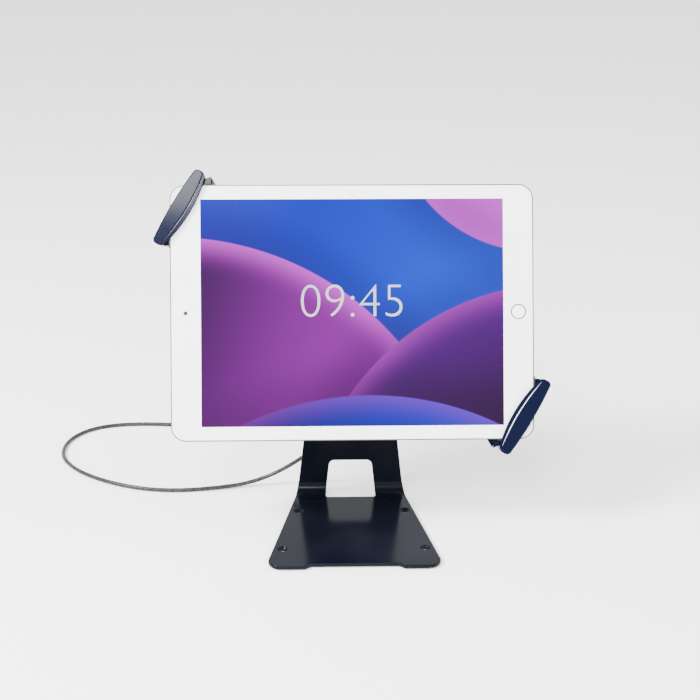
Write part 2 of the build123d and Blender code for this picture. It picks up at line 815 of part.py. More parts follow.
def make_jaw():
    """One jaw: lip over the glass, two posts past the edges, plate behind."""
    gap = edge_pad_thick
    edge_x = -tablet_wide / 2 - gap
    edge_y = tablet_high / 2 + gap
    band_level = lip_pad_thick + lip_thick - lip_step
    lip = chamfered(lip_face(), lip_face(band_chamfer), lip_pad_thick, band_level, band_chamfer)
    lip = lip + chamfered(lip_face(band=lip_band), lip_face(lip_chamfer, lip_band),
                          lip_pad_thick, lip_pad_thick + lip_thick, lip_chamfer)

    half = lip_long / 2
    to_lip = Pos(lip_mid.X, lip_mid.Y) * Rot(0, 0, lip_angle)
    top_in = (to_lip * Pos(half, -lip_top_wide / 2)).position
    top_out = (to_lip * Pos(half, lip_top_wide / 2)).position
    low_in = (to_lip * Pos(-half, -lip_low_wide / 2)).position
    low_out = (to_lip * Pos(-half, lip_low_wide / 2)).position
    top_gusset = [
        (top_in.X + gusset_long, edge_y),
        (top_in.X + gusset_long, edge_y + gusset_high), (top_in.X, top_in.Y),
        (top_out.X, top_out.Y), (top_out.X - lip_top_wide / 2, edge_y),
    ]
    low_gusset = [
        (edge_x, low_in.Y - low_gusset_long),
        (edge_x - low_gusset_wide, low_in.Y - low_gusset_long), (low_in.X, low_in.Y),
        (low_out.X, low_out.Y), (edge_x, low_out.Y + low_post_long),
    ]
    outside = lip_face() - tablet_line(gap)
    posts = Pos(0, 0, jaw_plate_top - jaw_plate_thick) * extrude(
        outside, lip_pad_thick + cut_over - jaw_plate_top + jaw_plate_thick)
    jaw = lip + posts
    for gusset in (top_gusset, low_gusset):
        jaw = jaw + prism(gusset, jaw_plate_top - jaw_plate_thick, -gusset_front)

    root = [
        (slide_turn * Pos(jaw_reach, y)).position
        for y in ((rack_face + rack_back + jaw_root_wide) / 2, (rack_face + rack_back - jaw_root_wide) / 2)
    ]
    plate_line = [
        (top_in.X + gusset_long, edge_y + gusset_high), (top_in.X, top_in.Y), (top_out.X, top_out.Y),
        (top_out.X - lip_top_wide / 2, edge_y), (edge_x, low_out.Y + low_post_long),
        (low_out.X, low_out.Y), (low_in.X, low_in.Y),
        (edge_x - low_gusset_wide, low_in.Y - low_gusset_long),
        (edge_x, low_in.Y - low_gusset_long),
        (root[0].X, root[0].Y), (root[1].X, root[1].Y),
    ]
    jaw = jaw + prism(plate_line, jaw_plate_top - jaw_plate_thick, jaw_plate_top)
    for x in jaw_screw_places():
        place = (slide_turn * Pos(x, (rack_face + rack_back) / 2)).position
        jaw = jaw - Pos(place.X, place.Y, jaw_plate_top) * sunk_hole(
            jaw_screw_radius, jaw_screw_head_radius, jaw_screw_head_high, jaw_plate_thick + cut_over)
    return jaw


def make_jaw_screws():
    """Two countersunk screws that join a jaw to its rack."""
    screw = sunk_screw(jaw_screw_radius, jaw_screw_head_radius, jaw_screw_head_high,
                       jaw_screw_long, jaw_screw_radius)
    side = (rack_face + rack_back) / 2
    return [slide_turn * Pos(x, side, jaw_plate_top) * screw for x in jaw_screw_places()]


def make_lip_pad():
    """Rubber facing between a lip and the glass."""
    face = lip_face(lip_pad_inset) & tablet_line(-lip_pad_inset)
    return extrude(face, lip_pad_thick)


def make_edge_pads():
    """Rubber blocks between a jaw's posts and the tablet's edges."""
    low = level_tablet + tablet_back_round
    high = -glass_inset
    x = lip_mid.X + lip_long / 2 * math.cos(math.radians(lip_angle))
    y = lip_mid.Y - lip_long / 2 * math.sin(math.radians(lip_angle))
    long = gusset_long + lip_top_wide / 2
    on_top = block(long, edge_pad_thick, low, high, x, (tablet_high + edge_pad_thick) / 2)
    on_side = block(edge_pad_thick, long, low, high, -(tablet_wide + edge_pad_thick) / 2, y)
    return [on_top, on_side]


def make_lock_body():
    """Lock barrel on the back of the grip body."""
    back = level_house_back - lock_body_long
    body = rod(lock_body_radius, back, level_house_back)
    body = body + rod(lock_neck_radius, level_house_back, level_floor)
    body = body - rod(lock_core_radius + run_gap, back - cut_over, level_floor + cut_over)
    return along_slide(Pos(lock_along, 0, 0) * body)


def make_lock_core():
    """Key cylinder with its keyway at the back."""
    back = level_house_back - lock_body_long - lock_core_proud
    core = rod(lock_core_radius, back, level_floor + face_gap)
    keyway = block(lock_key_wide, lock_key_high, back - cut_over, back + lock_key_deep)
    return along_slide(Pos(lock_along, 0, 0) * (core - keyway))


def make_lock_cam():
    """Disc on the cylinder's end whose pin drives the bolt bar."""
    cam = rod(cam_radius, level_floor + face_gap, level_floor + face_gap + cam_thick)
    start = math.radians(-cam_half_turn)
    pin = rod(cam_pin_radius, level_floor + cam_thick, level_rack - face_gap,
              cam_throw * math.cos(start), cam_throw * math.sin(start))
    return along_slide(Pos(lock_along, 0, 0) * (cam + pin))


bolt_bar_travel = cam_throw * math.sin(math.radians(cam_half_turn)) * 2


def make_bolt_bar():
    """Toothed bar that the cam pushes into the rack to lock the jaws."""
    tip = rack_tip - bolt_bar_gap
    root = tip - bolt_bar_tooth
    half = tooth_pitch / 4 - gear_backlash
    pitch_line = gear_radius - bolt_bar_travel
    first = -(bolt_bar_teeth - 1) / 2 * tooth_pitch
    half_wide = bolt_bar_wide / 2
    points = [(-half_wide, -bolt_bar_low), (-half_wide, root)]
    points += tooth_row(first + tooth_pitch / 2, bolt_bar_teeth - 1, tip, root, pitch_line, half)
    points += [(half_wide, root), (half_wide, -bolt_bar_low)]
    bar = prism(points, level_rack - bolt_bar_thick, level_rack)
    start = math.radians(-cam_half_turn)
    slot_y = cam_throw * math.sin(start)
    slot_x = cam_throw * (1 + math.cos(start)) / 2
    slot = block(cam_slot_long, (cam_pin_radius + cam_slot_gap) * 2, level_rack - bolt_bar_thick - cut_over,
                 level_rack + cut_over, slot_x, slot_y)
    return along_slide(Pos(lock_along, 0, 0) * (bar - slot))


def make_shell():
    """The tablet's hollow back with its rim round the glass."""
    body = Pos(0, 0, level_tablet) * extrude(tablet_line(), tablet_thick - glass_proud)
    body = fillet(body.edges().group_by(Axis.Z)[0], tablet_back_round)
    glass_seat = Pos(0, 0, -glass_thick) * extrude(
        tablet_line(-glass_inset + hole_gap), glass_thick + cut_over)
    cavity = Pos(0, 0, level_tablet + tablet_wall) * extrude(
        tablet_line(-tablet_wall * 2), tablet_thick)
    body = body - glass_seat - cavity
    for x in volume_places():
        body = body - key_hole(x, tablet_high / 2, key_long, tablet_wall * 2)
    body = body - key_hole(-tablet_wide / 2, power_up, tablet_wall * 2, key_long)
    body = body - key_pocket(tablet_wide / 2, port_deep)
    lens = rod(rear_lens_radius + hole_gap, level_tablet - cut_over, level_tablet + tablet_wall + cut_over,
               *rear_lens_place())
    return in_grip(body - lens)


def volume_places():
    """Where the two volume keys sit along the top edge."""
    first = -tablet_wide / 2 + volume_first_in
    return (first, first + volume_pitch)


def key_level():
    """Middle of the tablet's straight edge."""
    return (level_tablet + tablet_back_round - glass_inset) / 2


def key_hole(x, y, x_long, y_long):
    """Slot in the tablet's edge for one key."""
    half = key_wide / 2 + hole_gap
    gap = hole_gap * 2
    through = tablet_wall * 4
    x_size = x_long + gap if x_long > y_long else through
    y_size = y_long + gap if y_long > x_long else through
    return block(x_size, y_size, key_level() - half, key_level() + half, x, y)


def key_pocket(x, deep):
    """Socket for the charging plug, in the middle of the right edge."""
    half = port_wide / 2
    return block(deep * 2, port_long, key_level() - half, key_level() + half, x)


def rear_lens_place():
    """The rear camera looks out near the lower left corner of the back."""
    return (-tablet_wide / 2 + rear_lens_inset, -tablet_high / 2 + rear_lens_inset)


def home_place():
    """The home key sits in the right-hand border."""
    return (tablet_wide / 2 - home_inset, 0)


def eye_place():
    """The front camera sits in the left-hand border."""
    return (-tablet_wide / 2 + eye_inset, 0)


def make_glass():
    """Cover glass with a hole for the home key."""
    glass = Pos(0, 0, -glass_thick) * extrude(tablet_line(-glass_inset), glass_thick)
    glass = glass - rod(home_radius + hole_gap, -glass_thick - cut_over, cut_over, *home_place())
    return in_grip(glass - rod(eye_radius + hole_gap, -eye_thick, cut_over, *eye_place()))


def make_key(x, y, x_long, y_long):
    """One side key: a bar that stands a little proud of the edge."""
    half = key_wide / 2 - hole_gap
    return in_grip(block(x_long, y_long, key_level() - half, key_level() + half, x, y))


def tablet_solids():
    """Every piece of the tablet that doesn't move, by name."""
    under_glass = -glass_thick
    screen_back = under_glass - screen_thick
    battery_x = -board_wide / 2
    board_x = battery_x + battery_wide / 2 + board_gap + board_wide / 2
    return {
        "tablet_shell": make_shell(),
        "tablet_glass": make_glass(),
        "tablet_screen": in_grip(block(screen_wide, screen_high, screen_back, under_glass)),
        "tablet_battery": in_grip(rounded(battery_wide, battery_high, battery_thick,
                                          level_tablet + tablet_wall,
                                          level_tablet + tablet_wall + battery_thick, battery_x)),
        "tablet_board": in_grip(block(board_wide, board_high, level_tablet + tablet_wall,
                                      level_tablet + tablet_wall + board_thick, board_x)),
        "tablet_front_lens": in_grip(rod(eye_radius, -eye_thick, 0, *eye_place())),
        "tablet_rear_lens": in_grip(rod(rear_lens_radius, level_tablet, level_tablet + tablet_wall,
                                        *rear_lens_place())),
    }


def make_home_key():
    """Round home key, sunk a little below the glass."""
    return in_grip(rod(home_radius - hole_gap, -home_long, -home_sink, *home_place()))


def in_neck(shape):
    """Lay a shape drawn along Z on the cable lock's axis, Z pointing away from the user."""
    return Pos(slot_side, rear_y, slot_centre_high) * Rot(-90, 0, 0) * shape


def make_cable_lock():
    """Barrel behind the neck with a nose that seats against the sheet."""
    body = rod(cable_lock_nose_radius, 0, cable_lock_nose_long)
    body = body + rod(cable_lock_radius, cable_lock_nose_long, cable_lock_long)
    core = rod(cable_core_radius + run_gap, collar_back + collar_long, cable_lock_long + cut_over)
    stem = rod(bar_stem_radius + run_gap, -cut_over, cable_lock_long)
    return in_neck(body - core - stem)


def make_cable_core():
    """Key cylinder of the cable lock."""
    top = cable_lock_long + cable_core_proud
    core = rod(cable_core_radius, collar_back + collar_long + face_gap, top)
    return in_neck(core - block(lock_key_wide, lock_key_high, top - lock_key_deep, top + cut_over))


def make_lock_bar():
    """Stem and crossbar that hold the lock in the slot of the neck."""
    stem = rod(bar_stem_radius, -sheet_thick - face_gap * 2, collar_back + collar_long + face_gap)
    low = -sheet_thick - face_gap * 2 - bar_thick
    return in_neck(stem + block(bar_long, bar_wide, low, low + bar_thick))


def make_collar():
    """Loose ring round the lock whose boss holds the cable's end."""
    top = collar_back + collar_long
    long = boss_reach - cable_lock_radius - hole_gap
    boss = extrude(boss_plane() * Pos(0, 0, -long) * Circle(boss_radius), long)
    bore = rod(cable_lock_radius + hole_gap, collar_back - cut_over, top + cut_over)
    return in_neck(rod(collar_radius, collar_back, top)) + boss - in_neck(bore)


def boss_plane():
    """The plane at the mouth of the boss, facing the way the cable leaves."""
    turn = math.radians(boss_angle)
    out = Vector(math.cos(turn), 0, math.sin(turn))
    middle = Vector(slot_side, rear_y + collar_back + collar_long / 2, slot_centre_high)
    return Plane(origin=middle + out * boss_reach, x_dir=(0, 1, 0), z_dir=out)


def make_relief():
    """Tapered sleeve on the cable where it leaves the boss."""
    taper = math.degrees(math.atan((boss_radius - relief_tip_radius) / relief_long))
    return extrude(boss_plane() * Circle(boss_radius), relief_long, taper=taper)


def biarc_path(knots):
    """A smooth path through knots, two arcs between each pair; a knot is a point and a direction."""
    arcs = []
    for (start, leave), (end, arrive) in zip(knots, knots[1:]):
        span = end - start
        both = leave + arrive
        square = both.dot(both)
        a = square - 4
        b = -2 * span.dot(both)
        c = span.dot(span)
        if abs(a) < tiny_share:
            reach = c / -b
        else:
            reach = (-b - math.sqrt(b * b - 4 * a * c)) / (2 * a)
        middle = (start + leave * reach + end - arrive * reach) * 0.5
        arcs.append(TangentArc(start, middle, tangent=leave))
        arcs.append(TangentArc(end, middle, tangent=arrive * -1))
    return Wire(arcs)


def tube(path, radius):
    """A round tube along a path."""
    section = Plane(origin=path @ 0, z_dir=path % 0) * Circle(radius)
    return sweep(section, path=path)


def route_path(points):
    """Straight runs joined by arcs as large as each pair of runs allows."""
    points = [Vector(*p) for p in points]
    runs = [b - a for a, b in zip(points, points[1:])]
    radii = []
    for before, after in zip(runs, runs[1:]):
        half_turn = math.radians(before.get_angle(after)) / 2
        radii.append(arc_share * min(before.length, after.length) / math.tan(half_turn))
    print("cable runs, mm:", [round(r.length, 1) for r in runs])
    print("cable radii, mm:", [round(r, 1) for r in radii])
    return FilletPolyline(*points, radius=radii)


relief_tip = boss_plane().origin + boss_plane().z_dir * relief_long
cable_points = [tuple(relief_tip), tuple(relief_tip + boss_plane().z_dir * cable_first_run)]
cable_points += cable_route + [cable_end]


def make_cable():
    """The stretch of cable from the lock to the coil."""
    path = route_path(cable_points)
    cable = tube(path, cable_radius)
    want = math.pi * cable_radius ** 2 * path.length
    print("cable length, mm:", round(path.length, 1), "volume share:", round(cable.volume / want, 4))
    return cable


coil_pitch = cable_radius * 2 + coil_gap


def coil_radii():
    """The coil's radius at each half turn: in, out, in and out again."""
    radii = [coil_inner_radius + coil_pitch * coil_start_share]
    for layer in range(coil_layers):
        steps = [half_share, half_share, half_share, near_share]
        if layer:
            steps = [near_share, half_share, half_share, near_share]
        if layer == coil_layers - 1:
            steps = [near_share, half_share, half_share, half_share, half_share]
        way = -1 if layer % 2 == 0 else 1
        for step in steps:
            radii.append(radii[-1] + way * step * coil_pitch)
        if layer < coil_layers - 1:
            radii.append(radii[-1])
    return radii


def coil_knots():
    """Points and directions of the coil at each half turn."""
    radii = coil_radii()
    stub = cable_radius * 2
    centre = Vector(*cable_end) + Vector(stub, radii[0], 0)
    height = 0
    knots = []
    climbs = [coil_half_turns * (i + 1) for i in range(coil_layers - 1)]
    for i, radius in enumerate(radii):
        if i in climbs:
            height += coil_pitch
        side = -1 if i % 2 == 0 else 1
        point = centre + Vector(0, side * radius, height)
        knots.append((point, Vector(-side, 0, 0)))
    return knots


coil_line = coil_knots()


def make_coil():
    """The put-away length, wound in four layers."""
    stub = Vector(cable_radius * 2, 0, 0)
    first = Line(coil_line[0][0] - stub, coil_line[0][0])
    last = Line(coil_line[-1][0], coil_line[-1][0] + stub)
    turns = biarc_path(coil_line)
    path = Wire([first] + list(turns.edges()) + [last])
    points = [path @ (i / coil_samples) for i in range(coil_samples + 1)]
    apart = path.length / coil_samples
    skip = math.ceil(coil_inner_radius * 2 / apart)
    least = min(
        (p - q).length for i, p in enumerate(points) for q in points[i + skip:]
    )
    print("coil length, mm:", round(path.length, 1), "least gap, mm:", round(least - cable_radius * 2, 2))
    return tube(path, cable_radius)


tail_start = coil_line[-1][0] + Vector(cable_radius * 2, 0, 0)
tail_drop = tail_start.Z - ferrule_radius
tail_points = [
    tuple(tail_start),
    tuple(tail_start + Vector(tail_run, 0, 0)),
    tuple(tail_start + Vector(tail_run * (1 + tail_fall_share), 0, -tail_drop)),
    tuple(tail_start + Vector(tail_run * (2 + tail_fall_share), 0, -tail_drop)),
]


def make_tail():
    """From the top of the coil down to the crimped eye."""
    return tube(route_path(tail_points), cable_radius)


def make_ferrule():
    """Crimped sleeve that closes the eye, drawn in at both ends."""
    sleeve = rod(ferrule_radius, 0, ferrule_long)
    sleeve = chamfer(sleeve.edges(), ferrule_radius - cable_radius - cut_over / 2)
    return Pos(*tail_points[-1]) * Rot(0, 90, 0) * sleeve


def make_eye():
    """The loop at the cable's end, both of its ends straight into the ferrule."""
    start = Vector(*tail_points[-1]) + Vector(ferrule_long, 0, 0)
    side = Vector(0, cable_radius + hole_gap * 2, 0)
    stub = Vector(cable_radius * 2, 0, 0)
    wide = Vector(0, eye_bend_radius, 0)
    long = Vector(eye_long, 0, 0)
    knots = [
        (start + stub + side, Vector(1, 0, 0)),
        (start + long + wide, Vector(1, 0, 0)),
        (start + long + Vector(eye_bend_radius, 0, 0), Vector(0, -1, 0)),
        (start + long - wide, Vector(-1, 0, 0)),
        (start + stub - side, Vector(-1, 0, 0)),
    ]
    first = Line(start + side, start + stub + side)
    last = Line(start + stub - side, start - side)
    return tube(Wire([first] + list(biarc_path(knots).edges()) + [last]), cable_radius)


save("stand_frame", make_stand())
save("base_mat", make_mat())
save("tilt_bracket", make_bracket())
save("bracket_screws", *make_bracket_screws())
save("tilt_bolt", make_tilt_bolt())
save("tilt_nut", make_tilt_nut())
save("friction_washers", *make_washers())
save("tilt_head", make_tilt_head())
save("swivel_ring", make_swivel_ring())
save("ring_screws", *make_ring_screws())
save("swivel_disc", make_swivel_disc())
save("disc_screws", *make_disc_screws())
save("grip_body", make_house())
save("grip_cover", make_cover())
save("cover_screws", *make_cover_screws())
save("back_pads", *make_back_pads())
save("pinion", make_pinion())
save("pinion_axle", make_axle())
save("lock_barrel", make_lock_body())
save("lock_core", make_lock_core())
save("lock_cam", make_lock_cam())
save("lock_bolt", make_bolt_bar())

sides = (("upper", lambda shape: shape), ("lower", turned))
for side, place in sides:
    save(f"rack_{side}", in_grip(place(make_rack())))
    save(f"jaw_{side}", in_grip(place(make_jaw())))
    save(f"jaw_screws_{side}", *[in_grip(place(s)) for s in make_jaw_screws()])
    save(f"lip_pad_{side}", in_grip(place(make_lip_pad())))
    save(f"edge_pads_{side}", *[in_grip(place(s)) for s in make_edge_pads()])

for name, solid in tablet_solids().items():
    save(name, solid)
save("home_key", make_home_key())
for name, x in zip(("volume_down_key", "volume_up_key"), volume_places()):
    y = tablet_high / 2 + key_proud - key_deep / 2
    save(name, make_key(x, y, key_long, key_deep))
save("power_key", make_key(-tablet_wide / 2 - key_proud + key_deep / 2, power_up, key_deep, key_long))

save("cable_lock_barrel", make_cable_lock())
save("cable_lock_core", make_cable_core())
save("cable_lock_bar", make_lock_bar())
save("cable_collar", make_collar())
save("cable_relief", make_relief())
save("security_cable", make_cable())
save("cable_coil", make_coil())
save("cable_tail", make_tail())
save("cable_ferrule", make_ferrule())
save("cable_eye", make_eye())
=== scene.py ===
# Counter stand that clamps a tablet by two corners, with a keyed steel cable.
# Metres, in the frame of the CAD: X to the user's right, Y away from the user, Z up.
import math
import bpy
from mathutils import Matrix, Vector


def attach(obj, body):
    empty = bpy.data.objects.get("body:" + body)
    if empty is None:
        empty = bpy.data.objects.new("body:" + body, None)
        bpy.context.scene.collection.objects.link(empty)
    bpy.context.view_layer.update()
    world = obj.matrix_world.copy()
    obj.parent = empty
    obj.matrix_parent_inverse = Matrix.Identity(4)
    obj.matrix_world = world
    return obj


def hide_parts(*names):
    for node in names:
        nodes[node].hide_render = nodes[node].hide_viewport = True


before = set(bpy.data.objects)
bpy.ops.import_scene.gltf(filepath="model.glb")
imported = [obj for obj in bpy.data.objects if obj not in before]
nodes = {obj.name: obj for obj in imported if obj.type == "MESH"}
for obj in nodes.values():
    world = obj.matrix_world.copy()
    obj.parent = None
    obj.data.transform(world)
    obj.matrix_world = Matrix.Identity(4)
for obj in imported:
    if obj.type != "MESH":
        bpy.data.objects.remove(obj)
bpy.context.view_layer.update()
print("stage: frame loaded,", len(nodes), "nodes")

# camera, a compromise between the tablet's edges and the stand on the counter
view = {
    "place": (-0.0291, -0.9214, 0.4752),
    "down": 20.17,     # degrees below the horizon
    "side": -1.67,     # degrees from straight ahead, below 0 is to the right
    "roll": 0.21,
    "lens": 74.3,
    "film": 36.0,
}


def makeCamera():
    data = bpy.data.cameras.new("photoCamera")
    data.lens = view["lens"]
    data.sensor_width = view["film"]
    camera = bpy.data.objects.new("photoCamera", data)
    camera.location = view["place"]
    turn = (Matrix.Rotation(math.radians(view["side"]), 3, "Z")
            @ Matrix.Rotation(math.radians(90 - view["down"]), 3, "X")
            @ Matrix.Rotation(math.radians(view["roll"]), 3, "Z"))
    camera.rotation_euler = turn.to_euler()
    bpy.context.scene.collection.objects.link(camera)
    bpy.context.scene.camera = camera


makeCamera()
print("stage: camera set")


# shader helper: a link wraps one output socket, and arithmetic on it adds Math nodes
class Link:
    def __init__(self, tree, socket=None):
        self.tree = tree
        self.socket = socket

    def add(self, kind, settings=None, sockets=None, out=0):   # any node, and one of its outputs
        node = self.tree.nodes.new("ShaderNode" + kind)
        for key, value in (settings or {}).items():
            setattr(node, key, value)
        for key, value in (sockets or {}).items():
            if isinstance(value, Link):
                self.tree.links.new(value.socket, node.inputs[key])
            else:
                node.inputs[key].default_value = value
        return Link(self.tree, node.outputs[out] if node.outputs else None)

    def math(self, operation, first, second=0.0):
        return self.add("Math", {"operation": operation}, {0: first, 1: second})

    def __add__(self, other):
        return self.math("ADD", self, other)

    def __sub__(self, other):
        return self.math("SUBTRACT", self, other)

    def __rsub__(self, other):
        return self.math("SUBTRACT", other, self)

    def __mul__(self, other):
        return self.math("MULTIPLY", self, other)

    def __truediv__(self, other):
        return self.math("DIVIDE", self, other)

    def __pow__(self, other):
        return self.math("POWER", self, other)

    def __abs__(self):
        return self.math("ABSOLUTE", self)

    __radd__ = __add__
    __rmul__ = __mul__

    def between(self, low, high, start=0.0, end=1.0):   # smooth step from low to high
        return self.add("MapRange", {"interpolation_type": "SMOOTHSTEP"},
                        {"Value": self, "From Min": low, "From Max": high,
                         "To Min": start, "To Max": end})

    def mix(self, first, second):   # two colours, and this link is the factor
        return self.add("Mix", {"data_type": "RGBA"}, {0: self, 6: rgb(first), 7: rgb(second)}, 2)

    def along(self, axis):   # a place's reach along a direction
        return self.add("VectorMath", {"operation": "DOT_PRODUCT"}, {0: self, 1: axis}, "Value")

    def shifted(self, place):
        return self.add("VectorMath", {"operation": "SUBTRACT"}, {0: self, 1: place})

    def noise(self, scale, detail, rough=0.5):
        return self.add("TexNoise", {}, {"Vector": self, "Scale": scale, "Detail": detail,
                                         "Roughness": rough})

    def bump(self, strength, depth):
        return self.add("Bump", {}, {"Strength": strength, "Distance": depth, "Height": self})


def rgb(value):
    return value if isinstance(value, Link) else (*value, 1.0)


socketNames = {
    "metal": "Metallic", "coat": "Coat Weight", "coatRough": "Coat Roughness",
    "shine": "Specular IOR Level", "normal": "Normal",
    "glow": "Emission Color", "glowStrength": "Emission Strength",
}


def startMaterial(name):
    material = bpy.data.materials.new(name)
    material.use_nodes = True
    material.node_tree.nodes.clear()
    start = Link(material.node_tree)
    return material, start, start.add("TexCoord", out="Object")


def closeMaterial(material, start, color, rough, **more):
    sockets = {"Base Color": rgb(color), "Roughness": rough}
    for key, value in more.items():
        sockets[socketNames[key]] = rgb(value) if key == "glow" else value
    surface = start.add("BsdfPrincipled", {}, sockets)
    start.add("OutputMaterial", {}, {"Surface": surface})
    return material


def dress(names, material):
    for name in names:
        for slot in nodes[name].material_slots:
            slot.material = material


def addPiece(name, mesh, material, body):
    mesh.materials.clear()
    mesh.materials.append(material)
    piece = bpy.data.objects.new(name, mesh)
    bpy.context.scene.collection.objects.link(piece)
    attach(piece, body)
    return piece


def tubeMesh(name, points, around):   # rings of points, joined by sides and closed at both ends
    rings = len(points) // around
    faces = []
    for ring in range(rings - 1):
        for corner in range(around):
            after = (corner + 1) % around
            faces.append((ring * around + corner, ring * around + after,
                          (ring + 1) * around + after, (ring + 1) * around + corner))
    faces.append(tuple(range(around)))
    faces.append(tuple(reversed(range((rings - 1) * around, rings * around))))
    mesh = bpy.data.meshes.new(name)
    mesh.from_pydata(points, [], faces)
    mesh.shade_smooth()
    return mesh


cable = {
    "radius": 0.0016,
    "length": 1.71,        # from the sleeve at the lock to the crimp
    "strands": 6,
    "lay": 0.021,          # one turn of a strand
    "groove": 0.15,        # share of the radius
    "ringPoints": 18,
    "ringStep": 0.0013,
    "route": [
        (-0.009835, 0.06725, 0.047941), (-0.019496, 0.06725, 0.039242),
        (-0.0365, 0.0695, 0.0245), (-0.056, 0.0735, 0.0105), (-0.078, 0.0725, 0.0026),
        (-0.101, 0.0680, 0.0016), (-0.1235, 0.0642, 0.0016), (-0.147, 0.0652, 0.0016),
        (-0.169, 0.0722, 0.0016), (-0.191, 0.0845, 0.0016), (-0.2105, 0.1015, 0.0016),
        (-0.224, 0.122, 0.0016), (-0.2275, 0.143, 0.0016), (-0.224, 0.163, 0.0016),
        (-0.213, 0.180, 0.0016), (-0.1945, 0.190, 0.0016), (-0.169, 0.1925, 0.0016),
        (-0.142, 0.1900, 0.0016), (-0.117, 0.1870, 0.0016), (-0.092, 0.1865, 0.0016),
    ],
    "coilStart": (-0.0888, 0.1865, 0.0016),
    "coilInner": 0.0145,
    "coilPitch": 0.0037,
    "coilOut": 2.25,       # pitches by which the first half turn is wider than the inner one
    # how far each half turn of a layer moves in or out, in pitches
    "coilLayers": [(0.5, 0.5, 0.5, 0.75), (0.75, 0.5, 0.5, 0.75), (0.75, 0.5, 0.5, 0.75),
                   (0.75, 0.5, 0.5, 0.5, 0.5)],
    "halfTurnPoints": 8,
    "tailStart": 0.0032,   # from the top of the coil
    "tailRuns": (0.0, 0.016, 0.0448, 0.0608),
    "tailLevel": 0.0028,   # where the crimp and the eye lie on the counter
    # finish, noise scales per metre
    "steel": (0.040, 0.042, 0.047),
    "jacket": (0.010, 0.011, 0.013),
    "wireGrain": 2600.0,
    "grimeGrain": 420.0,
    "rough": 0.22,
    "metal": 0.25,
    "shine": 0.16,
    "wireBump": (0.25, 0.0002),      # strength, depth
}
eye = {
    "crimp": 0.012,        # from the tail's end through the sleeve
    "legs": 0.0017,        # half the gap between the legs
    "lead": 0.004,         # straight part of the legs
    "halfWide": 0.0094,
    "reach": 0.0255,       # to the end of the widest part
    "nose": 0.0092,
}


def coilPoints():
    pitch = cable["coilPitch"]
    half = cable["halfTurnPoints"]
    radii = [cable["coilInner"] + pitch * cable["coilOut"]]
    lifts = []
    for number, layer in enumerate(cable["coilLayers"]):
        if number:                      # one half turn climbs to the next layer
            radii.append(radii[-1])
            lifts.append(1)
        way = -1 if number % 2 == 0 else 1
        for step in layer:
            radii.append(radii[-1] + way * step * pitch)
            lifts.append(0)
    spread = 1 / (0.75 + 0.25 * math.cos(math.pi / half))   # the spline runs inside its own points
    startX, startY, startZ = cable["coilStart"]
    centreY = startY + radii[0]
    points = []
    height = 0.0
    for turn, (first, second) in enumerate(zip(radii, radii[1:])):
        middle = (first + second) / 2
        side = 1 if turn % 2 == 0 else -1
        shift = side * (middle - first)
        for step in range(half):
            angle = math.pi * step / half
            rise = lifts[turn] * (1 - math.cos(angle)) / 2
            points.append((startX + side * middle * spread * math.sin(angle),
                           centreY + shift - side * middle * spread * math.cos(angle),
                           startZ + (height + rise) * pitch))
        height += lifts[turn]
    last = radii[-1]
    top = (startX, centreY - last, startZ + height * pitch)
    points.append((startX, centreY - last * spread, top[2]))
    return points, top


def splineLine(name, points, fine):
    curve = bpy.data.curves.new(name, "CURVE")
    curve.dimensions = "3D"
    curve.resolution_u = fine
    spline = curve.splines.new("NURBS")
    spline.points.add(len(points) - 1)
    for point, place in zip(spline.points, points):
        point.co = (*place, 1.0)
    spline.order_u = 3
    spline.use_endpoint_u = True
    holder = bpy.data.objects.new(name, curve)
    bpy.context.scene.collection.objects.link(holder)
    mesh = bpy.data.meshes.new_from_object(holder)
    line = [vertex.co.copy() for vertex in mesh.vertices]
    bpy.data.meshes.remove(mesh)
    bpy.data.objects.remove(holder)
    bpy.data.curves.remove(curve)
    return line


def evenLine(line, step):   # the same line in equal steps, and its length
    lengths = [0.0]
    for first, second in zip(line, line[1:]):
        lengths.append(lengths[-1] + (second - first).length)
    count = max(2, round(lengths[-1] / step))
    even = []
    index = 0
    for number in range(count + 1):
        want = lengths[-1] * number / count
        while index < len(line) - 2 and lengths[index + 1] < want:
            index += 1
        span = lengths[index + 1] - lengths[index] or 1.0
        even.append(line[index].lerp(line[index + 1], (want - lengths[index]) / span))
    return even, lengths[-1]


def ropeMesh(name, line):
    even, length = evenLine(line, cable["ringStep"])
    last = len(even) - 1
    points = []
    side = None
    for index, place in enumerate(even):
        ahead = even[min(index + 1, last)] - even[max(index - 1, 0)]
        ahead.normalize()
        if side is None:
            side = ahead.cross(Vector((0, 0, 1))).normalized()
        side = (side - ahead * side.dot(ahead)).normalized()
        up = side.cross(ahead)
        twist = math.tau * index * length / last / cable["lay"]
        for corner in range(cable["ringPoints"]):
            angle = math.tau * corner / cable["ringPoints"]
            lobe = math.cos(cable["strands"] * (angle - twist))
            reach = cable["radius"] * (1 - cable["groove"] * (1 - lobe) / 2)
            points.append(place + (side * math.cos(angle) + up * math.sin(angle)) * reach)
    return tubeMesh(name, points, cable["ringPoints"]), even


def ropeFinish():
    material, start, place = startMaterial("strandedCable")
    grime = place.noise(cable["grimeGrain"], 3.0)
    wire = place.noise(cable["wireGrain"], 2.0)
    dirt = (wire * 0.6 + grime * 0.4).between(0.35, 0.65)
    return closeMaterial(material, start, dirt.mix(cable["jacket"], cable["steel"]),
                         grime * 0.12 + cable["rough"], metal=cable["metal"], shine=cable["shine"],
                         normal=wire.bump(*cable["wireBump"]))


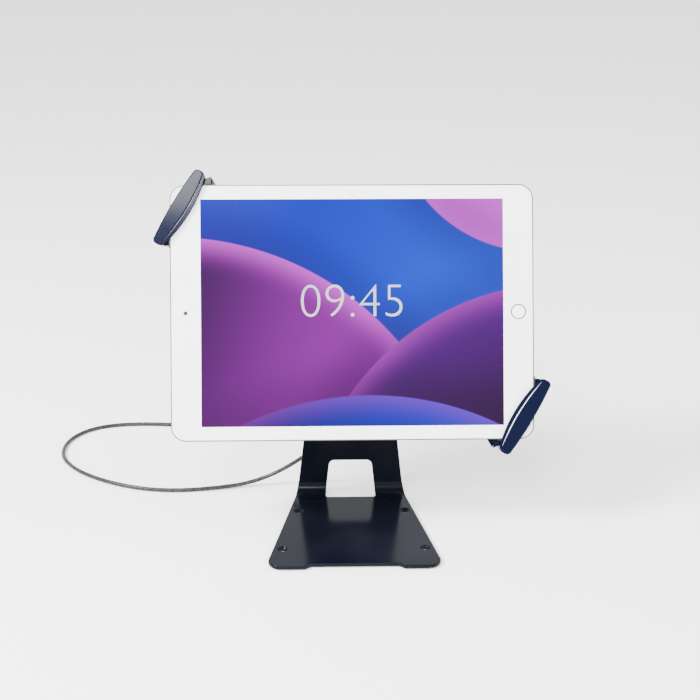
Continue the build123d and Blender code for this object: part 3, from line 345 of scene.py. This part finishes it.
def makeCable():
    turns, top = coilPoints()
    tailX, tailY = top[0] + cable["tailStart"], top[1]
    level = cable["tailLevel"]
    tail = [(tailX + run, tailY, height)
            for run, height in zip(cable["tailRuns"], (top[2], top[2], level, level))]
    mesh, path = ropeMesh("securityCable", splineLine("cableLine", cable["route"] + turns + tail, 6))
    finish = ropeFinish()
    rope = addPiece("securityCable", mesh, finish, "stand")
    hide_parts("security_cable", "cable_coil", "cable_tail")

    startX = tail[-1][0] + eye["crimp"]
    legs, wide, reach = eye["legs"], eye["halfWide"], eye["reach"]
    bow = [(0.0, legs), (eye["lead"], legs), (reach * 0.6, wide), (reach, wide),
           (reach + eye["nose"], wide * 0.7)]
    bow += [(x, -y) for x, y in reversed(bow)]
    eyeLine = splineLine("eyeLine", [(startX + x, tailY + y, level) for x, y in bow], 12)
    loop = addPiece("cableEye", ropeMesh("cableEye", eyeLine)[0], finish, "stand")
    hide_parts("cable_eye")


makeCable()
print("stage: cable laid")

stand = {
    "paint": (0.0022, 0.0028, 0.0055),
    "rough": 0.12,
    "shine": 0.07,
}
jaw = {
    "paint": (0.0004, 0.0016, 0.011),
    "rough": 0.09,
    "shine": 0.10,
}
coating = {   # shared by the stand and the jaws, noise scales per metre
    "dust": (0.022, 0.025, 0.036),
    "cloudGrain": 14.0,
    "cloudShare": 0.12,
    "cloudRough": 0.09,
    "speckGrain": 5200.0,
    "speckSpan": (0.70, 0.78),
    "speckShare": 0.5,
    "speckRough": 0.2,
    "peelGrain": 900.0,      # orange peel
    "peelBump": (0.18, 0.00003),
}


def paintFinish(name, piece):
    material, start, place = startMaterial(name)
    peel = place.noise(coating["peelGrain"], 2.0)
    cloud = place.noise(coating["cloudGrain"], 3.0)
    specks = place.noise(coating["speckGrain"], 1.0).between(*coating["speckSpan"])
    dusty = cloud.between(0.45, 0.75) * coating["cloudShare"] + specks * coating["speckShare"]
    rough = (cloud.between(0.3, 0.8, piece["rough"], piece["rough"] + coating["cloudRough"])
             + specks * coating["speckRough"])
    return closeMaterial(material, start, dusty.mix(piece["paint"], coating["dust"]), rough,
                         shine=piece["shine"], normal=peel.bump(*coating["peelBump"]))


dress(["stand_frame", "tilt_bracket", "tilt_head", "swivel_ring", "cable_collar"],
      paintFinish("glossBlackSteel", stand))
dress(["jaw_upper", "jaw_lower"], paintFinish("glossJaw", jaw))
print("stage: steel and jaws painted")

tablet = {
    "middle": (0.0, 0.019375, 0.156921),
    "right": (1.0, 0.0, 0.0),
    "up": (0.0, 0.3420201, 0.9396926),
    "out": (0.0, -0.9396926, 0.3420201),
    "bezel": (0.84, 0.85, 0.87),
    "bezelSmear": (0.82, 0.83, 0.86),
    "smearGrain": 60.0,
    "glassRough": 0.10,
    "glassShine": 0.01,
}
shell = {
    "dull": (0.34, 0.29, 0.235),
    "bright": (0.365, 0.315, 0.26),
    "cloudGrain": 25.0,
    "blastGrain": 6000.0,
    "blastBump": (0.2, 0.00003),
    "rough": 0.26,
    "metal": 0.9,
    "rim": (0.085, 0.072, 0.06),     # polished edge beside the glass
    "rimLevels": (-0.0016, -0.0008),
}
home = {
    "across": 0.1145,                # from the tablet's middle
    "ring": (0.11, 0.10, 0.09),
    "ringRadii": (0.0044, 0.0046),
    "ringMetal": 0.4,
    "smearGrain": 300.0,
    "rough": 0.14,
    "shine": 0.1,
}
lens = {
    "deep": (0.004, 0.005, 0.012),
    "tint": (0.02, 0.02, 0.05),
    "tintGrain": 900.0,
    "rough": 0.04,
    "coat": 0.8,
    "coatRough": 0.02,
}
inside = {
    "board": (0.02, 0.09, 0.04),
    "parts": (0.03, 0.03, 0.03),
    "cells": 300.0,
    "cellBump": (0.4, 0.0003),
    "rough": 0.45,
}
picture = {
    "halfWide": 0.1041,
    "halfHigh": 0.0781,
    "edge": 0.0001,
    "off": (0.004, 0.004, 0.006),
    "light": 1.0,
    "skyDeep": (0.0, 0.025, 0.85),
    "skyLight": (0.0, 0.11, 1.35),
    "violet": (0.12, 0.001, 0.27),
    "orchid": (0.38, 0.008, 0.48),
    "pink": (1.45, 0.10, 1.60),
    "plum": (0.040, 0.001, 0.060),
    "plumLight": (0.065, 0.001, 0.10),
    "navy": (0.008, 0.0, 0.11),
    "shadow": (0.45, 0.62),      # width, and what is left of the colour right beside a shape
    # lengths in half screen heights: a circle's middle across, middle up and radius, the
    # direction that its fill follows, where the fill starts and ends, its colours, its edge glow
    "circles": [
        ((1.62, 1.78, 1.25), (0.4, 0.6), (0.4, 1.5), ("violet", "pink"), 0.4),
        ((-1.60, -1.95, 2.62), (0.9, -0.25), (-1.5, 0.0), ("plumLight", "orchid"), 0.7),
        ((1.85, -2.05, 2.30), (-0.3, 0.9), (-1.3, -0.2), ("plum", "violet"), 0.3),
        ((0.15, -3.35, 2.62), (0.5, 0.8), (-1.6, -0.1), ("navy", "skyDeep"), 0.15),
    ],
}


def tabletPlane(place):
    own = place.shifted(tablet["middle"])
    return own.along(tablet["right"]), own.along(tablet["up"])


def tabletPoint(x, y, z):
    return (Vector(tablet["middle"]) + Vector(tablet["right"]) * x + Vector(tablet["up"]) * y
            + Vector(tablet["out"]) * z)


def pastCircle(across, up, circle):   # how far outside a circle, below 0 inside
    x, y, radius = circle
    return ((across - x) ** 2.0 + (up - y) ** 2.0) ** 0.5 - radius


def pictureColor(across, up):
    u = across / picture["halfHigh"]
    v = up / picture["halfHigh"]
    color = (u * 0.35 - v * 0.2).between(-0.5, 0.6).mix(picture["skyDeep"], picture["skyLight"])
    width, left = picture["shadow"]
    for circle, lean, ends, tints, shine in picture["circles"]:
        fill = (u * lean[0] + v * lean[1]).between(*ends).mix(picture[tints[0]], picture[tints[1]])
        past = pastCircle(u, v, circle)
        shade = past.between(0.0, width, left, 1.0)      # soft shadow outside the shape
        color = (1 - shade).mix(color, picture["plum"])
        glowing = past.between(-0.5, 0.05) ** 4.0 * shine      # brighter towards its own edge
        color = past.between(-0.006, 0.006, 1, 0).mix(color, glowing.mix(fill, picture["pink"]))
    return color


def glassFinish():
    material, start, place = startMaterial("litGlass")
    across, up = tabletPlane(place)
    wide, high, edge = picture["halfWide"], picture["halfHigh"], picture["edge"]
    screen = (abs(across).between(wide - edge, wide + edge, 1, 0)
              * abs(up).between(high - edge, high + edge, 1, 0))
    smear = place.noise(tablet["smearGrain"], 3.0)
    bezel = smear.between(0.3, 0.8).mix(tablet["bezel"], tablet["bezelSmear"])
    return closeMaterial(material, start, screen.mix(bezel, picture["off"]),
                         smear * 0.04 + tablet["glassRough"], shine=tablet["glassShine"],
                         glow=screen.mix((0.0, 0.0, 0.0), pictureColor(across, up)),
                         glowStrength=picture["light"])


def shellFinish():
    material, start, place = startMaterial("blastedAluminium")
    grain = place.noise(shell["blastGrain"], 2.0)
    cloud = place.noise(shell["cloudGrain"], 2.0)
    color = cloud.between(0.3, 0.7).mix(shell["dull"], shell["bright"])
    level = place.shifted(tablet["middle"]).along(tablet["out"])
    return closeMaterial(material, start, level.between(*shell["rimLevels"]).mix(color, shell["rim"]),
                         grain * 0.15 + shell["rough"], metal=shell["metal"],
                         normal=grain.bump(*shell["blastBump"]))


def homeFinish():
    material, start, place = startMaterial("homeKeyGlass")
    across, up = tabletPlane(place)
    ring = pastCircle(across, up, (home["across"], 0.0, 0.0)).between(*home["ringRadii"])
    smear = place.noise(home["smearGrain"], 2.0)
    return closeMaterial(material, start, ring.mix(tablet["bezel"], home["ring"]),
                         smear * 0.06 + home["rough"], shine=home["shine"],
                         metal=ring * home["ringMetal"])


def lensFinish():
    material, start, place = startMaterial("lensGlass")
    tint = place.noise(lens["tintGrain"], 2.0)
    return closeMaterial(material, start, tint.mix(lens["deep"], lens["tint"]),
                         tint * 0.05 + lens["rough"], coat=lens["coat"], coatRough=lens["coatRough"])


def innerFinish():
    material, start, place = startMaterial("innerBoard")
    cells = place.add("TexVoronoi", {}, {"Vector": place, "Scale": inside["cells"]}, "Distance")
    color = cells.between(0.2, 0.6).mix(inside["board"], inside["parts"])
    return closeMaterial(material, start, color, cells * 0.2 + inside["rough"],
                         normal=cells.bump(*inside["cellBump"]))


dress(["tablet_glass"], glassFinish())
dress(["tablet_shell", "volume_up_key", "volume_down_key", "power_key"], shellFinish())
dress(["home_key"], homeFinish())
dress(["tablet_front_lens", "tablet_rear_lens"], lensFinish())
dress(["tablet_screen", "tablet_battery", "tablet_board"], innerFinish())

clock = {
    "digits": "09:45",
    "size": 0.0335,
    "thinner": 0.0007,     # taken off each side of a stroke
    "up": 0.0068,          # above the tablet's middle
    "ahead": 0.00006,      # in front of the glass
    "dim": (0.82, 0.84, 0.9),
    "white": (1.0, 1.0, 1.0),
    "light": 1.5,
}


def clockFinish():
    material, start, place = startMaterial("clockLight")
    glow = place.noise(120.0, 2.0).between(0.3, 0.7).mix(clock["dim"], clock["white"])
    return closeMaterial(material, start, (0.01, 0.01, 0.01), 0.4, glow=glow,
                         glowStrength=clock["light"])


def makeClock():
    text = bpy.data.curves.new("clockDigits", "FONT")
    text.body = clock["digits"]
    text.size = clock["size"]
    text.align_x = "CENTER"
    text.align_y = "CENTER"
    text.offset = -clock["thinner"]
    text.resolution_u = 6
    holder = bpy.data.objects.new("clockHolder", text)
    bpy.context.scene.collection.objects.link(holder)
    bpy.context.view_layer.update()
    mesh = bpy.data.meshes.new_from_object(holder)
    bpy.data.objects.remove(holder)
    for vertex in mesh.vertices:
        vertex.co = tabletPoint(vertex.co.x, vertex.co.y + clock["up"], clock["ahead"])
    addPiece("clockDigits", mesh, clockFinish(), "grip")


makeClock()
print("stage: tablet dressed")

# thin line along the inner edge of each jaw's lip, in the tablet's plane, coloured with painted
# light: painted shade on the upper jaw's line, a painted highlight on the lower jaw's line
bead = {
    "middle": (-0.1184, 0.0719),
    "angle": 58.4,
    "halfLong": 0.0258,
    "ends": (-0.00245, -0.00285),     # how far the bead's ends lie to the inner side
    "belly": -0.0023,
    "level": 0.0030,
    "radius": 0.00032,
    "tip": 0.15,                      # share of the radius at both ends
    "taper": 4,                       # an end thickens over one part in this many
    "steps": 32,
    "corners": 8,
    "shaded": ((0.010, 0.020, 0.045), (0.03, 0.05, 0.09)),     # painted shade on the upper jaw, dull and bright
    "lit": ((0.34, 0.36, 0.42), (0.75, 0.75, 0.76)),           # lower jaw
    "streakGrain": 700.0,
    "rough": 0.12,
    "coat": 0.4,
    "coatRough": 0.04,
}


# streaks at random between the two tints of one painted light pair
def beadFinish(name, tints):
    material, start, place = startMaterial(name)
    streak = place.noise(bead["streakGrain"], 2.0)
    return closeMaterial(material, start, streak.mix(*tints), streak * 0.1 + bead["rough"],
                         coat=bead["coat"], coatRough=bead["coatRough"])


def makeBead(name, body, turn, finish):   # turn is -1 for the jaw at the opposite corner
    angle = math.radians(bead["angle"])
    steps, corners = bead["steps"], bead["corners"]
    line = []
    for step in range(steps + 1):
        t = 2 * step / steps - 1
        x = bead["halfLong"] * t
        y = (bead["ends"][0] * (1 - t) / 2 + bead["ends"][1] * (1 + t) / 2
             + bead["belly"] * (1 - t * t))
        across = bead["middle"][0] + x * math.cos(angle) - y * math.sin(angle)
        up = bead["middle"][1] + x * math.sin(angle) + y * math.cos(angle)
        line.append(tabletPoint(across * turn, up * turn, bead["level"]))
    points = []
    out = Vector(tablet["out"])
    for index, place in enumerate(line):
        ahead = (line[min(index + 1, steps)] - line[max(index - 1, 0)]).normalized()
        side = ahead.cross(out).normalized()
        thick = min(1.0, bead["tip"] + bead["taper"] * min(index, steps - index) / steps)
        for corner in range(corners):
            around = math.tau * corner / corners
            spoke = side * math.cos(around) + out * math.sin(around)
            points.append(place + spoke * bead["radius"] * thick)
    addPiece(name, tubeMesh(name, points, corners), finish, body)


# the same bead with painted shade on the upper jaw and a painted highlight on the lower jaw
makeBead("lipBeadUpper", "jaw_upper", 1, beadFinish("beadShaded", bead["shaded"]))
makeBead("lipBeadLower", "jaw_lower", -1, beadFinish("beadLit", bead["lit"]))
print("stage: jaws dressed")

metals = {   # dull and bright colour, roughness, and the nodes
    "zincScrews": ((0.27, 0.28, 0.30), (0.36, 0.355, 0.33), 0.22,
                   ["bracket_screws", "tilt_bolt", "tilt_nut", "ring_screws", "disc_screws",
                    "cover_screws", "jaw_screws_upper", "jaw_screws_lower", "pinion_axle"]),
    "gearSteel": ((0.17, 0.18, 0.19), (0.25, 0.25, 0.26), 0.3,
                  ["pinion", "rack_upper", "rack_lower", "lock_bolt", "lock_cam"]),
    "nickelLock": ((0.30, 0.305, 0.32), (0.39, 0.385, 0.37), 0.14,
                   ["lock_barrel", "cable_lock_barrel", "cable_lock_bar"]),
    "brassCore": ((0.42, 0.27, 0.08), (0.52, 0.35, 0.12), 0.2, ["lock_core", "cable_lock_core"]),
    "crimpAluminium": ((0.30, 0.305, 0.31), (0.40, 0.40, 0.40), 0.28, ["cable_ferrule"]),
}
turned = {   # fine lines left by the tool, on every metal
    "lineGrain": 1800.0,
    "lineRough": 0.18,
    "lineBump": (0.15, 0.00004),
    "cloudGrain": 120.0,
}
rubber = {
    "dark": (0.012, 0.012, 0.013),
    "pale": (0.035, 0.034, 0.033),
    "cloudGrain": 80.0,
    "grain": 3500.0,
    "grainBump": (0.4, 0.0001),
    "rough": 0.6,
}
casting = {
    "dark": (0.012, 0.012, 0.014),
    "pale": (0.03, 0.03, 0.034),
    "grain": 2200.0,
    "grainBump": (0.5, 0.00008),
    "rough": 0.38,
    "coat": 0.1,
}
nylon = {
    "dark": (0.62, 0.60, 0.53),
    "pale": (0.74, 0.73, 0.67),
    "grain": 500.0,
    "grainBump": (0.2, 0.00005),
    "rough": 0.42,
}


def plainMetal(name, dull, bright, rough):
    material, start, place = startMaterial(name)
    lines = place.noise(turned["lineGrain"], 3.0, 0.6)
    cloud = place.noise(turned["cloudGrain"], 2.0)
    return closeMaterial(material, start, cloud.between(0.3, 0.7).mix(dull, bright),
                         lines * turned["lineRough"] + rough, metal=1.0,
                         normal=lines.bump(*turned["lineBump"]))


def rubberFinish():
    material, start, place = startMaterial("blackRubber")
    grain = place.noise(rubber["grain"], 3.0)
    cloud = place.noise(rubber["cloudGrain"], 2.0)
    return closeMaterial(material, start, cloud.mix(rubber["dark"], rubber["pale"]),
                         grain * 0.25 + rubber["rough"], normal=grain.bump(*rubber["grainBump"]))


def castFinish():
    material, start, place = startMaterial("castHousing")
    grain = place.noise(casting["grain"], 3.0)
    color = grain.between(0.3, 0.7).mix(casting["dark"], casting["pale"])
    return closeMaterial(material, start, color, grain * 0.2 + casting["rough"],
                         coat=casting["coat"], normal=grain.bump(*casting["grainBump"]))


def nylonFinish():
    material, start, place = startMaterial("nylonWasher")
    cloud = place.noise(nylon["grain"], 2.0)
    return closeMaterial(material, start, cloud.mix(nylon["dark"], nylon["pale"]),
                         cloud * 0.15 + nylon["rough"], normal=cloud.bump(*nylon["grainBump"]))


for name, (dull, bright, rough, names) in metals.items():
    dress(names, plainMetal(name, dull, bright, rough))
dress(["base_mat", "back_pads", "lip_pad_upper", "lip_pad_lower", "edge_pads_upper",
       "edge_pads_lower", "cable_relief"], rubberFinish())
dress(["grip_body", "grip_cover", "swivel_disc"], castFinish())
dress(["friction_washers"], nylonFinish())
print("stage: every node dressed")

studio = {
    "floorHalf": 3.0,
    "floorDrop": 0.0001,     # below the counter plane, so that nothing shares its face
    "floorColor": (0.95, 0.95, 0.955),
    "sky": (0.97, 0.98, 1.0),
    "skyStrength": 2.2,
    # name, place, aims at, width, height, watts
    "lamps": [
        ("highLeft", (-1.10, -0.55, 1.15), (0.0, 0.0, 0.15), 0.45, 0.45, 85.0),
        ("frontLeft", (-0.36, -1.60, 1.34), (-0.1, 0.0, 0.2), 0.60, 0.60, 55.0),
        ("right", (1.5, -0.3, 0.9), (0.0, 0.0, 0.1), 0.8, 1.0, 20.0),
    ],
}


def floorFinish():
    material, start, place = startMaterial("paperFloor")
    cloud = place.noise(3.0, 2.0)
    shaded = tuple(channel * 0.99 for channel in studio["floorColor"])
    return closeMaterial(material, start, cloud.mix(studio["floorColor"], shaded), cloud * 0.05 + 0.7)


def makeStudio():
    half = studio["floorHalf"]
    mesh = bpy.data.meshes.new("floor")
    mesh.from_pydata([(-half, -half, 0), (half, -half, 0), (half, half, 0), (-half, half, 0)],
                     [], [(0, 1, 2, 3)])
    mesh.materials.append(floorFinish())
    floor = bpy.data.objects.new("floor", mesh)
    floor.location = (0, 0, -studio["floorDrop"])
    bpy.context.scene.collection.objects.link(floor)

    world = bpy.data.worlds.new("studioSky")
    world.use_nodes = True
    background = world.node_tree.nodes["Background"]
    background.inputs["Color"].default_value = (*studio["sky"], 1.0)
    background.inputs["Strength"].default_value = studio["skyStrength"]
    bpy.context.scene.world = world
    for name, place, aim, wide, high, watts in studio["lamps"]:
        data = bpy.data.lights.new(name, "AREA")
        data.shape = "RECTANGLE"
        data.size = wide
        data.size_y = high
        data.energy = watts
        lamp = bpy.data.objects.new(name, data)
        lamp.location = place
        lamp.rotation_euler = (Vector(aim) - Vector(place)).to_track_quat("-Z", "Y").to_euler()
        bpy.context.scene.collection.objects.link(lamp)


makeStudio()
print("stage: studio lit")
